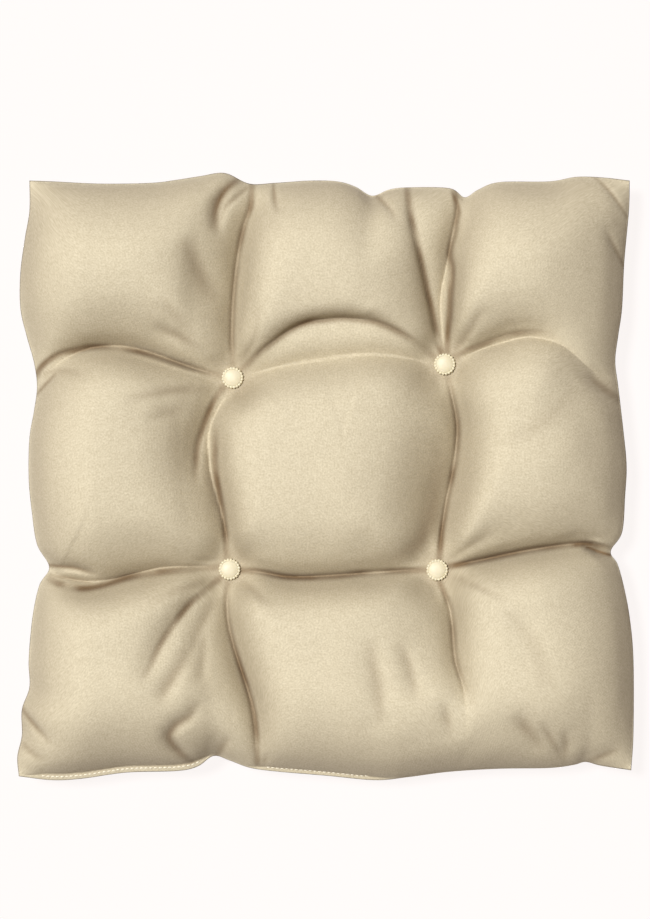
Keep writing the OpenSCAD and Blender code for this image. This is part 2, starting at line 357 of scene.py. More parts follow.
def thread_links(points, lengths, across, start, pull, push, free):
    """Moves both ends of every second length of thread towards its true length: all of the way when it
    is stretched times pull, and times push when it is slack."""
    if across:
        points, lengths, free = (np.swapaxes(a, 0, 1) for a in (points, lengths, free))
    a, b = points[start:-1:2], points[start + 1::2]
    free_a, free_b = free[start:-1:2], free[start + 1::2]
    step = b - a
    now = np.sqrt(np.einsum("ijk,ijk->ij", step, step)) + 1e-9
    excess = now - lengths[start::2]
    share = np.where(excess > 0, pull, push) * excess / (now * (free_a + free_b + 1e-9))
    step *= share[..., None]
    a += step * free_a[..., None]
    b -= step * free_b[..., None]


def bias_links(points, lengths, mirrored, start, stiffness, free):
    """The same along the diagonals of every second row of cells, which resists shearing."""
    near, far = (np.s_[:-1, 1:], np.s_[1:, :-1]) if mirrored else (np.s_[:-1, :-1], np.s_[1:, 1:])
    a, b = points[near][start::2], points[far][start::2]
    free_a, free_b = free[near][start::2], free[far][start::2]
    step = b - a
    now = np.sqrt(np.einsum("ijk,ijk->ij", step, step)) + 1e-9
    step *= (stiffness * (now - lengths[start::2]) / (now * (free_a + free_b + 1e-9)))[..., None]
    a += step * free_a[..., None]
    b -= step * free_b[..., None]


def settle(drawn, extra_x, extra_y, hold, free, seed, rounds=140, pressure=0.02, floor_z=None, up=1):
    """Cloth on stuffing, by moving points and then correcting lengths, over and over. The threads are
    longer than the drawn surface by the extra shares, so the fabric swells and wrinkles; the stuffing
    pushes outwards; bending smooths what has moved; and hold is the share of its move that a point
    gives back each round, which stands for the filling and for the sewing."""
    count = len(drawn)
    now = drawn + normals(drawn) * (up * 0.25 * lumps(count, 3, seed) * free)[..., None]
    long_x = np.linalg.norm(np.diff(drawn, axis=1), axis=-1) * (1 + (extra_x[:, 1:] + extra_x[:, :-1]) / 2)
    long_y = np.linalg.norm(np.diff(drawn, axis=0), axis=-1) * (1 + (extra_y[1:] + extra_y[:-1]) / 2)
    both = 1 + (extra_x + extra_y) / 2
    bias = np.linalg.norm(drawn[1:, 1:] - drawn[:-1, :-1], axis=-1) * (both[1:, 1:] + both[:-1, :-1]) / 2
    other = np.linalg.norm(drawn[1:, :-1] - drawn[:-1, 1:], axis=-1) * (both[1:, :-1] + both[:-1, 1:]) / 2
    speed = np.zeros_like(now)
    for _ in range(rounds):
        before = now.copy()
        now += speed * 0.85 + normals(now) * (up * pressure * free)[..., None]
        for start in (0, 1):
            thread_links(now, long_x, True, start, 1.0, 0.5, free)
            thread_links(now, long_y, False, start, 1.0, 0.5, free)
        for start in (0, 1):
            bias_links(now, bias, False, start, 0.15, free)
            bias_links(now, other, True, start, 0.15, free)
        moved = now - drawn
        moved -= 0.03 * spread_out(spread_out(moved)) * free[..., None]
        now = drawn + moved * (1 - hold)[..., None]
        if floor_z is not None:
            now[..., 2] = np.maximum(now[..., 2], floor_z)
        speed = now - before
    moved = now - drawn
    for _ in range(6):
        moved += 0.2 * spread_out(moved)
    return drawn + moved


# ---- creases of the top cover: width to the left and right of travel, then the route ----

TOP_CREASES = {
    "left_edge_to_back_left": (3.5, 9, [
        (-191, 66, 0.16), (-186, 73.5, 0.22), (-174, 81, 0.26), (-158, 85, 0.26), (-145, 85.7, 0.26),
        (-127, 84, 0.24), (-111, 80, 0.2), (-95, 74.7, 0.16), (-80, 70.3, 0.12), (-69, 67.4, 0.08),
        (-60.6, 65.6, 0.05),
    ]),
    "back_left_to_back_right": (2.5, 30, [
        (-58, 67, 0.04), (-54, 72, 0.07), (-36, 87, 0.15), (-16.5, 99.5, 0.24), (3, 103.5, 0.27),
        (20, 103.5, 0.25), (36, 100.5, 0.18), (56, 90.5, 0.1), (72, 79, 0.06), (78, 75.5, 0.04),
    ]),
    "back_edge_to_back_left": (6, 5, [
        (-48, 193, 0.12), (-49, 178, 0.18), (-53, 166.5, 0.18), (-57, 146, 0.16), (-60, 118.5, 0.14),
        (-61, 91, 0.12), (-60.6, 68, 0.06),
    ]),
    "pleat_left": (11, 2.5, [
        (54, 191, 0.1), (54.5, 182, 0.14), (57, 166, 0.18), (62, 145, 0.22), (68.4, 117, 0.26),
        (74, 91, 0.28), (76.5, 83, 0.22), (78, 77, 0.1),
    ]),
    "pleat_right": (2.5, 6, [
        (85, 189, 0.2), (87, 172.5, 0.24), (82, 149.5, 0.24), (83, 136.5, 0.24), (82, 117, 0.22),
        (80, 84, 0.16), (79, 76, 0.08),
    ]),
    "back_right_to_right_edge": (5, 14, [
        (79, 76, 0.06), (85, 80, 0.1), (108, 89.5, 0.15), (122, 94, 0.14), (138, 95, 0.07), (154, 91, 0),
        (175, 75, 0), (192, 62, 0),
    ]),
    "back_left_to_front_left_upper": (4, 9, [
        (-62, 63, 0.08), (-68.5, 57, 0.14), (-74, 48, 0.22), (-80, 33, 0.25), (-83.6, 20, 0.24),
        (-84.6, 6, 0.12), (-84, -6, 0),
    ]),
    "back_left_to_front_left_lower": (4, 5, [
        (-71.5, 37, 0), (-72, 20, 0.16), (-71.5, 4, 0.23), (-68.5, -14, 0.26), (-66, -29, 0.24),
        (-64.5, -49, 0.16), (-62.6, -58, 0.08),
    ]),
    "back_right_to_front_right": (4, 3, [
        (78.5, 72, 0.04), (80, 67.5, 0.06), (84, 51, 0.1), (87, 35, 0.16), (86.5, 21.5, 0.2),
        (85.5, 12, 0.2), (83, -1.5, 0.2), (80, -14.5, 0.2), (77, -34, 0.2), (75, -52.5, 0.14),
        (73.6, -58, 0.08),
    ]),
    "left_edge_to_front_left": (3.5, 6, [
        (-188, -63, 0), (-176, -69, 0.12), (-160, -72.3, 0.22), (-148, -70.8, 0.26), (-130, -65.7, 0.26),
        (-115, -63, 0.24), (-100, -61, 0.14), (-69.5, -58.5, 0.08), (-64, -60, 0.06),
    ]),
    "front_left_to_front_right": (3.5, 7, [
        (-60, -60, 0.08), (-56, -60.5, 0.14), (-42.5, -61.5, 0.18), (-23, -65, 0.2), (3, -64.5, 0.2),
        (36, -61.5, 0.18), (67.5, -60.5, 0.12), (72, -60.5, 0.08),
    ]),
    "front_right_to_right_edge": (2.4, 5, [
        (76, -60, 0.08), (80, -58.5, 0.16), (101.5, -54, 0.24), (128, -48.5, 0.27), (154, -44.5, 0.27),
        (174, -43.5, 0.24), (188, -47, 0.14),
    ]),
    "front_left_to_front_edge": (4, 4, [
        (-63, -63, 0.04), (-65, -80, 0.09), (-63.5, -93, 0.11), (-61, -106, 0.14), (-56, -122.5, 0.18),
        (-50.5, -139, 0.2), (-46.5, -155.5, 0.2), (-45, -172, 0.18), (-44.5, -188, 0.12),
    ]),
    "front_left_to_corner": (12, 9, [
        (-65, -63, 0.05), (-70.5, -67, 0.12), (-80, -75, 0.16), (-89, -83, 0.17), (-99, -96, 0.16),
        (-107.5, -109, 0.13), (-113, -121, 0.08), (-120, -133, 0),
    ]),
    "front_right_to_front_edge": (4, 5, [
        (73.6, -63, 0.08), (75, -67, 0.12), (80, -80, 0.16), (83, -93, 0.16), (85.5, -119.5, 0.12),
        (90, -136, 0.05), (94, -150, 0), (90, -190, 0),
    ]),
}
FOLLOWED = {
    "back_row": ["left_edge_to_back_left", "back_left_to_back_right", "back_right_to_right_edge"],
    "front_row": ["left_edge_to_front_left", "front_left_to_front_right", "front_right_to_right_edge"],
    "left_column": ["back_edge_to_back_left", "back_left_to_front_left_lower", "front_left_to_front_edge"],
    "right_column": ["pleat_right", "back_right_to_front_right", "front_right_to_front_edge"],
}
TUFT_FLAT_R = 7.0

# ---- small folds of the top cover: width, then places with the rise of the fabric ----

TOP_FOLDS = {
    "back_edge_tuck": (4.5, [(-70, 157, 0), (-72, 167, -4), (-71, 178, -6), (-66, 188, -6), (-58, 196, -4)]),
    "back_edge_loop": (2.5, [(-69, 164, 0), (-66, 176, -2), (-59, 183.5, -3), (-49, 193, -2)]),
    "back_edge_left": (2.5, [(-34, 193, -3), (-33, 182, -3), (-31, 172, 0)]),
    "back_edge_right": (2.5, [(30, 191, -4), (37, 182, -3.4), (44, 173, -1.5), (46, 166, 0)]),
    "back_left_dimple": (5, [
        (-112, 101, 0), (-105, 97, -1.8), (-95, 92.5, -2.4), (-84, 85, -1), (-76, 80, 0),
    ]),
    "back_left_ray": (6, [(-108, 118, 0), (-101, 109, -1.2), (-92, 100, -1), (-82, 92, 0)]),
    "back_left_hollow": (9, [(-92, 158, 0), (-88, 148, -2), (-80, 129, -2.6), (-71, 113, 0)]),
    "back_left_pinch": (1.8, [(-130, 82, 0), (-111, 77, 1.6), (-95, 72, 2), (-80, 67.8, 1.6), (-68, 65, 0)]),
    "back_middle_ray": (3.5, [(-56, 74, 0), (-51, 83, -1.2), (-46, 92, -1.2), (-42, 114, 0)]),
    "left_middle_ray": (6, [
        (-72, 58, 0), (-90, 58, -2), (-102, 56.5, -2.2), (-118, 53, -1.4), (-130, 50, 0),
    ]),
    "left_middle_ray_2": (5, [(-92, 45, 0), (-102, 42, -1.2), (-118, 38, 0)]),
    "front_left_notch_upper": (2.6, [
        (-190, -56, -3), (-182, -57.7, -4.5), (-165, -58.7, -4.5), (-156, -61.2, -3), (-149, -64, 0),
    ]),
    "front_left_notch_middle": (2.2, [(-181, -64, -2), (-168, -66, -3.5), (-155, -68.5, -2), (-149, -70, 0)]),
    "left_notch_tuck": (2.6, [(-174, 71, 0), (-178, 67, -2.5), (-184, 61, -3.5), (-190, 55, -3)]),
    "left_notch_wrinkle": (4, [(-184, 69, -1.5), (-170, 70, -1.5), (-152, 66, 0)]),
    "taut_line": (2.5, [
        (-54, 67, 0), (-23, 73.5, 1.2), (10, 78.5, 1.4), (30, 80, 1.3), (49, 78.5, 1), (73, 74, 0),
    ]),
    "back_right_crease": (4, [(84, 81, 0), (90, 90, -2), (99, 104, -1.2), (104, 112, 0)]),
    "right_edge_dimple": (6, [(170, 70, 0), (176, 64, -2.5), (184, 58, -3.5), (193, 52, -3)]),
    "back_right_corner": (2.4, [(177, 199, -2), (188, 187, -3), (199, 172, -2.5)]),
    "right_edge_fold": (2.8, [(183, 164, 0), (190, 151, -3), (198, 138, -4)]),
    "front_left_fold": (6, [(-88, -108, 0), (-92, -118, -2), (-102, -134, -2.8), (-109, -147, 0)]),
    "front_left_fold_2": (4, [(-79, -100, 0), (-79.5, -108, -1.3), (-80.5, -124, -1.3), (-82, -134, 0)]),
    "front_left_tuck": (5, [
        (-82, -143, 0), (-88, -154, -3), (-97, -160.5, -4), (-102, -169, -5), (-96, -179, -4.5),
        (-88, -187, -3),
    ]),
    "front_left_corner": (3, [(-200, -152, -3.5), (-189, -163, -3.5), (-178, -174, 0)]),
    "front_left_corner_2": (4, [(-198, -176, -2), (-190, -182, -2), (-182, -185, 0)]),
    "front_notch_fold": (4, [(-72, -184, -4), (-68, -177, -3), (-63, -168, 0)]),
    "front_edge_nick": (3, [(-37, -179, 0), (-40, -186, -2), (-41, -191, 0)]),
    "front_middle_fold": (7, [(28, -102, 0), (31, -120, -1.8), (35, -142, -1.8), (37, -164, 0)]),
    "front_middle_v": (5, [(47, -106, 0), (53, -118, -1.8), (57, -132, -1.4), (60, -148, 0)]),
    "front_middle_right": (5, [(76, -144, 0), (79, -156, -2), (82, -170, 0)]),
    "front_right_hollow": (7, [(122, -152, 0), (129, -161, -2.6), (136, -169, -2.2), (144, -180, 0)]),
    "front_right_fold": (4, [(139, -158, 0), (147, -170, -2.4), (156, -184, -1)]),
    "front_right_fold_2": (4, [(155, -163, 0), (157, -174, -2.4), (157, -186, -1)]),
    "front_left_ray": (5, [(-66, -66, 0), (-82, -69, -1.6), (-98, -74, -1.4), (-116, -82, 0)]),
    "front_left_ray_2": (5, [(-70, -74, 0), (-78, -90, -1.8), (-86, -108, -1.4), (-90, -122, 0)]),
    "front_middle_ray": (4, [(-58, -66, 0), (-46, -74, -1.4), (-34, -84, 0)]),
    "middle_flank": (12, [
        (74, 30, 0), (74, 6, -2), (70, -22, -3.4), (62, -42, -3.4), (44, -52, -1.6), (20, -55, 0),
    ]),
    "right_middle_wave": (9, [(110, 20, 0), (132, 30, -0.9), (150, 44, -0.9), (166, 62, 0)]),
    "front_right_wave": (9, [(112, -82, 0), (130, -100, -0.9), (140, -122, -0.9), (144, -144, 0)]),
    "front_right_corner": (4, [(174, -187, -2), (184, -182, -3), (197, -177, 0)]),
    "front_right_ray": (3.5, [(79, -63, 0), (95, -69, -1.2), (108, -75, -1), (122, -81, 0)]),
    "right_middle_ray": (3.5, [(79, -55, 0), (90, -47, -1.4), (101, -40, -1.1), (112, -34, 0)]),
    "right_edge_tuck": (2.6, [(168, -44.5, 0), (175, -46.5, -10), (180, -48.5, -14), (188, -51, -8)]),
    "right_edge_flap": (2.2, [(172, -41, 0), (180, -42.5, 3), (188, -46, 2)]),
}


def puckers(plan):
    """Small gathers round each tuft: a cosine of nine times the direction, within a bell 13 mm out."""
    height = np.zeros(plan.shape[:2])
    for k, (x, y) in enumerate(TUFTS):
        dx, dy = plan[..., 0] - x, plan[..., 1] - y
        far, turn = np.hypot(dx, dy), np.arctan2(dy, dx)
        height += 0.7 * np.cos(9 * turn + 1.7 * k) * np.exp(-(((far - 13) / 6) ** 2))
    return height


def flat_lips(plan):
    """Widths of the flat lip outside the stuffing, on the left, right, front and back: next to nothing,
    but for the two lengths of the front that are stitched shut from outside."""
    places = (-196, -184, -82, -74, -50, -40, 30, 48)
    front = np.interp(plan[0, :, 0], places, (1.5, 4.5, 4.5, 1, 1, 2.6, 2.6, 0.5))
    return 0.8, 0.8, front, 0.8


def draw_top(plan):
    """The top cover before it settles: the seam's height, the loft and the small folds, drawn down to the
    buttons."""
    lips = flat_lips(plan)
    share, held, shade = loft_share(plan, TOP_CREASES, lips, TOP_REACHES)
    folds, folds_held, folds_shade = fold_heights(plan, TOP_FOLDS)
    rise = np.clip(share / 0.4, 0, 1)
    folds = folds + 1.1 * lumps(len(plan), 26, 11) + 0.45 * lumps(len(plan), 10, 12) + puckers(plan)
    lip = 0.35 * np.minimum(np.min(insets(plan), 0), lips[2])
    height = SEAM_Z + lip + (CROWN_Z - SEAM_Z) * 1.05 * share + folds * rise
    tuft = pull_of_tufts(plan, TUFT_FLAT_R, 11)
    drawn = np.dstack([plan, height + (TOP_SEAT_Z - 0.4 - height) * tuft])
    # painted shade: the crease and fold shade, with more painted shade round each tuft
    shade = 1 - (1 - np.maximum(shade, folds_shade)) * (1 - TUFT_PAINTED_SHADE * pull_of_tufts(plan, 8, 7))
    return drawn, np.maximum(held, folds_held), shade


def draw_bottom(plan):
    """The underside before it settles: the same valleys with a crease along each, hung from the seam and
    flattened on the seat by a curve that never goes below it."""
    creases = {name: (6, 6, [(x, y, 0.45 * depth) for x, y, depth in route])
               for name, (_, _, route) in VALLEYS.items()}
    share, held, shade = loft_share(plan, creases, flat_lips(plan), UNDER_REACHES)
    height = SEAM_Z - (SEAM_Z + 9) * share - (1.2 * lumps(len(plan), 24, 31) + puckers(plan)) * share
    height = (height + np.sqrt(height**2 + 9)) / 2
    tuft = pull_of_tufts(plan, TUFT_FLAT_R, 14)
    return np.dstack([plan, height + (UNDER_SEAT_Z + 0.4 - height) * tuft]), held, shade


def settled_covers(plan):
    """Both covers after the cloth has settled, each with the shade of its creases."""
    free = np.zeros(plan.shape[:2])
    free[1:-1, 1:-1] = 1
    free[pull_of_tufts(plan, TUFT_FLAT_R, 0.1) > 0.5] = 0
    edge = np.min(insets(plan), 0)
    near_edge = np.exp(-((edge / 25) ** 2))
    near_tuft = pull_of_tufts(plan, 10, 25)
    extra = EXTRA_CLOTH + EXTRA_AT_TUFTS * near_tuft + EXTRA_AT_SEAM * near_edge
    sewn = SEAM_HOLD * np.exp(-((edge / 6) ** 2))
    drawn, held, top_shade = draw_top(plan)
    hold = LOOSE_HOLD + CREASE_HOLD * np.maximum(held, sewn)
    top = settle(drawn, extra, extra, hold, free, 3)
    drawn, held, bottom_shade = draw_bottom(plan)
    hold = LOOSE_HOLD + CREASE_HOLD * np.maximum(held, sewn)
    bottom = settle(drawn, extra, extra, hold, free, 5, floor_z=0.0, up=-1)
    return top, bottom, top_shade, bottom_shade


# ---- meshes ----


def new_piece(name, points, faces, uv=None):
    """A mesh object from points in millimetres and blocks of faces. It rides on the pad's one body."""
    mesh = bpy.data.meshes.new(name)
    mesh.from_pydata((np.asarray(points) * MM).tolist(), [], [f for block in faces for f in block.tolist()])
    mesh.polygons.foreach_set("use_smooth", np.ones(len(mesh.polygons), bool))
    if uv is not None:
        layer = mesh.uv_layers.new(name="cloth")
        corners = np.empty(len(mesh.loops), np.int32)
        mesh.loops.foreach_get("vertex_index", corners)
        layer.data.foreach_set("uv", uv[corners].astype(np.float32).ravel())
    mesh.update()
    piece = bpy.data.objects.new(name, mesh)
    bpy.context.scene.collection.objects.link(piece)
    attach(piece, "root")
    return piece


def grid_faces(index):
    """Quads over a grid of point numbers, anticlockwise when rows run up and columns to the right."""
    cells = [index[:-1, :-1], index[:-1, 1:], index[1:, 1:], index[1:, :-1]]
    return np.stack(cells, -1).reshape(-1, 4)


def round_border(index):
    """The border of a grid of point numbers, anticlockwise, without repeating the first."""
    return np.concatenate([index[0, :-1], index[:-1, -1], index[-1, :0:-1], index[:0:-1, 0]])


def threads_uv(points):
    """Where each point is on the flat fabric, in metres: the length of thread up to it from the middle
    of its row and of its column."""
    run_x = np.cumsum(np.linalg.norm(np.diff(points, axis=1), axis=-1), 1)
    run_y = np.cumsum(np.linalg.norm(np.diff(points, axis=0), axis=-1), 0)
    x = np.pad(run_x, ((0, 0), (1, 0)))
    y = np.pad(run_y, ((1, 0), (0, 0)))
    return np.stack([x - x[:, -1:] / 2, y - y[-1:] / 2], -1) * MM


def cover_shell(name, outside, shade, up):
    """A cover with its thickness: the outside grid, a lining of every second point moved inwards along
    the normal, and a rim between the two, whose outer points come two to each inner one. The painted
    shade of the creases is carried on the points, with a little more where the fabric near by is steep."""
    count = len(outside)
    inward = -normals(outside) * up
    steep = 1 - np.abs(inward[..., 2])
    for _ in range(40):
        steep += 0.2 * spread_out(steep)
    # painted shade: more where the fabric is steep, blurred over its neighbours
    shade = 1 - (1 - shade) * (1 - STEEP_PAINTED_SHADE * np.clip(steep, 0, 1))
    inside = (outside + COVER_T * inward)[::2, ::2]
    centre = outside.mean((0, 1))
    for side in SIDES:
        towards = centre[:2] - inside[side][:, :2]
        towards /= np.linalg.norm(towards, axis=-1, keepdims=True)
        inside[side] = outside[::2, ::2][side]
        inside[side][:, :2] += 0.9 * towards
    outside = outside.copy()
    for side in SIDES:
        outside[side][:, 2] += 0.05 * up
    outer = np.arange(count * count).reshape(count, count)
    inner = count * count + np.arange(inside.shape[0] ** 2).reshape(inside.shape[:2])
    o, i = round_border(outer), round_border(inner)
    nxt = np.roll(i, -1)
    o0, o1, o2 = o[::2], o[1::2], np.roll(o[::2], -1)
    rim = np.concatenate([np.stack(t, -1) for t in ((o0, i, o1), (o1, nxt, o2), (o1, i, nxt))])
    quads = np.concatenate([grid_faces(outer), grid_faces(inner)[:, ::-1]])
    if up < 0:
        quads, rim = quads[:, ::-1], rim[:, ::-1]
    points = np.concatenate([outside.reshape(-1, 3), inside.reshape(-1, 3)])
    cloth = threads_uv(outside)
    uv = np.concatenate([cloth.reshape(-1, 2), cloth[::2, ::2].reshape(-1, 2)])
    piece = new_piece(name, points, [quads, rim], uv)
    shade = np.concatenate([shade.ravel(), shade[::2, ::2].ravel()]).astype(np.float32)
    # the painted shade is stored on the points as the crease attribute
    piece.data.attributes.new("crease", "FLOAT", "POINT").data.foreach_set("value", shade)
    return piece


def lowest_near(heights, steps):
    """The lowest of the heights within so many steps along the rows and the columns."""
    for _ in range(steps):
        wide = np.pad(heights, 1, mode="edge")
        heights = np.min([wide[:-2, 1:-1], wide[2:, 1:-1], wide[1:-1, :-2], wide[1:-1, 2:], heights], 0)
    return heights


def stuffing(top, bottom):
    """The fibre as one closed body: every fourth point of both covers, at the lowest height of the cloth
    near by and clear of it and of the seam margins, with a wall round the outside."""
    part = np.s_[24:-24:4, 24:-24:4]
    above, below = top[part].copy(), bottom[part].copy()
    above[..., 2] = lowest_near(top[..., 2], 5)[part] - STUFFING_GAP
    below[..., 2] = -lowest_near(-bottom[..., 2], 5)[part] + STUFFING_GAP
    below[..., 2] = np.minimum(below[..., 2], above[..., 2] - 1)
    index = np.arange(above[..., 0].size).reshape(above.shape[:2])
    a = round_border(index)
    b = a + index.size
    wall = np.stack([b, np.roll(b, -1), np.roll(a, -1), a], -1)
    faces = [grid_faces(index), grid_faces(index + index.size)[:, ::-1], wall]
    points = np.concatenate([above.reshape(-1, 3), below.reshape(-1, 3)])
    return new_piece("fibre_stuffing", points, faces)


def band_along_seam(name, plan, section):
    """A closed band round the pad. The section is a list of corners, each a distance in from the seam
    and a height over its plane, anticlockwise from the front; each corner's line is the seam's own line
    drawn in towards the middle of the pad."""
    seam = np.stack([round_border(plan[..., k]) for k in (0, 1)], -1)[::2]
    half = np.abs(seam).max(0)
    lines = [np.column_stack([seam * (1 - inset / half), np.full(len(seam), SEAM_Z + rise)])
             for inset, rise in section]
    points = np.stack(lines, 1)
    index = np.arange(points.shape[0] * points.shape[1]).reshape(points.shape[:2])
    after = np.roll(index, -1, 0)
    faces = np.stack([index, np.roll(index, -1, 1), np.roll(after, -1, 1), after], -1).reshape(-1, 4)
    return new_piece(name, points.reshape(-1, 3), [faces])


def tube_section(inset, rise, radius, sides=8):
    """The corners of a round section."""
    turn = np.linspace(0, 2 * np.pi, sides, endpoint=False)
    return [(inset - radius * math.cos(a), rise + radius * math.sin(a)) for a in -turn]


def stitches(name, lines, pitch, length, thick):
    """Short stitches along lines of points, given with a height sign each. A stitch is a capsule: rings
    whose radius follows a half circle towards both ends, on an axis that rises in the middle and dips
    into the fabric at the ends."""
    along = np.linspace(-1, 1, 7)
    turn = np.linspace(0, 2 * np.pi, 6, endpoint=False)
    radius = thick / 2 * np.sqrt(np.clip(1 - np.abs(along) ** 4, 0.02, 1))
    lift = thick * (0.35 - 0.75 * along**2)
    points, faces, used = [], [], 0
    for line, up in lines:
        run = np.r_[0, np.cumsum(np.linalg.norm(np.diff(line, axis=0), axis=1))]
        centres = np.arange(pitch / 2, run[-1] - length, pitch)
        at = centres[:, None] + along[None] * length / 2
        axis = np.stack([np.interp(at, run, line[:, k]) for k in range(3)], -1)
        forward = axis[:, -1] - axis[:, 0]
        forward /= np.linalg.norm(forward, axis=-1, keepdims=True)
        above = np.array([0, 0, up]) - forward * forward[:, 2:3] * up
        beside = np.cross(forward, above)
        ring = (np.cos(turn)[:, None, None] * beside + np.sin(turn)[:, None, None] * above).transpose(1, 0, 2)
        axis = axis + lift[None, :, None] * above[:, None]
        shape = axis[:, :, None] + radius[None, :, None, None] * ring[:, None]
        each = shape.shape[1] * shape.shape[2]
        index = used + np.arange(len(centres) * each).reshape(shape.shape[:3])
        turned = np.roll(index, -1, 2)
        side = np.stack([index[:, :-1], turned[:, :-1], turned[:, 1:], index[:, 1:]], -1).reshape(-1, 4)
        faces += [side[:, ::-1], index[:, 0], index[:, -1, ::-1]]
        points.append(shape.reshape(-1, 3))
        used += len(centres) * each
    return new_piece(name, np.concatenate(points), faces)


def button(name, centre, up):
    """A moulded button. Its profile runs from the middle of the dome out over the rim, back under it and
    down the shank, carried round a circle; the rim swells and thins as the square root of a sine, once
    for each bead. Its eye is a ring through which the cord passes."""
    beads, body_r, bead_r, shank_r = 20, 6.1, 1.12, 2.3
    turn = np.linspace(0, 2 * np.pi, beads * 10, endpoint=False)
    swell = 0.25 + 0.75 * np.sqrt(np.abs(np.sin(turn * beads / 2)))
    share = np.linspace(0.06, 1, 12)
    dome_r, dome_z = share * body_r * 0.93, 1.9 + 1.3 * (1 - share**2.6)
    bend = np.radians(np.linspace(150, -120, 12))
    radii = np.concatenate([np.tile(dome_r, (len(turn), 1)),
                            body_r + bead_r * swell[:, None] * np.cos(bend)], 1)
    heights = np.concatenate([np.tile(dome_z, (len(turn), 1)),
                              1.15 + bead_r * (0.4 + 0.6 * swell[:, None]) * np.sin(bend)], 1)
    under_r = np.array([body_r * 0.9, shank_r + 0.6, shank_r, shank_r, shank_r * 0.8, 0.4])
    under_z = np.array([0.05, 0.0, -0.5, -2.6, -3.3, -3.5])
    radii = np.concatenate([radii, np.tile(under_r, (len(turn), 1))], 1)
    heights = np.concatenate([heights, np.tile(under_z, (len(turn), 1))], 1)
    round_ = np.dstack([radii * np.cos(turn)[:, None], radii * np.sin(turn)[:, None], heights])
    index = np.arange(radii.size).reshape(radii.shape)
    after = np.roll(index, -1, 0)
    body = np.stack([index[:, :-1], index[:, 1:], after[:, 1:], after[:, :-1]], -1).reshape(-1, 4)
    a, b = np.meshgrid(np.linspace(0, 2 * np.pi, 28, endpoint=False),
                       np.linspace(0, 2 * np.pi, 10, endpoint=False), indexing="ij")
    eye = np.dstack([(1.85 + 0.7 * np.cos(b)) * np.cos(a), 0.7 * np.sin(b),
                     -5.0 + (1.85 + 0.7 * np.cos(b)) * np.sin(a)])
    e = radii.size + np.arange(a.size).reshape(a.shape)
    e1, e2 = np.roll(e, -1, 0), np.roll(e, -1, 1)
    ring = np.stack([e, e2, np.roll(e1, -1, 1), e1], -1).reshape(-1, 4)
    points = np.concatenate([round_.reshape(-1, 3), eye.reshape(-1, 3)])
    faces = [body, ring, index[:, 0][None], index[::-1, -1][None]]
    if up < 0:
        points = points * (1, -1, -1)
    return new_piece(name, points + centre, faces)


# ---- materials ----


def linear(hex_colour):
    """An sRGB hex colour as linear light, with full alpha."""
    c = np.array([int(hex_colour[i:i + 2], 16) for i in (1, 3, 5)]) / 255
    light = np.where(c <= 0.04045, c / 12.92, ((c + 0.055) / 1.055) ** 2.4)
    return (*light.tolist(), 1.0)


def add(tree, kind, settings=None, inputs=None):
    """One node with its settings; each input is a value, or a socket that is linked to it."""
    made = tree.nodes.new(kind)
    for key, value in (settings or {}).items():
        setattr(made, key, value)
    for key, value in (inputs or {}).items():
        if isinstance(value, bpy.types.NodeSocket):
            tree.links.new(value, made.inputs[key])
        else:
            made.inputs[key].default_value = value
    return made


def new_material(name):
    """An empty material: its tree and its surface shader."""
    material = bpy.data.materials.new(name)
    material.use_nodes = True
    return material, material.node_tree, material.node_tree.nodes["Principled BSDF"]


def two_tones(tree, factor, dark, light):
    """A colour ramp from dark to light along the factor."""
    ramp = add(tree, "ShaderNodeValToRGB", None, {"Fac": factor})
    ramp.color_ramp.elements[0].color = linear(dark)
    ramp.color_ramp.elements[1].color = linear(light)
    return ramp


def raise_by(tree, shader, height, strength, distance_mm):
    """A bump on the shader's normal, up to so many millimetres high."""
    bump = add(tree, "ShaderNodeBump", None,
               {"Strength": strength, "Distance": distance_mm * MM, "Height": height})
    tree.links.new(bump.outputs["Normal"], shader.inputs["Normal"])


def period(mm):
    """The Wave node's scale for one wave every so many millimetres: the node makes a wave of 2 pi / 20."""
    return 2 * math.pi / 20 / (mm * MM)


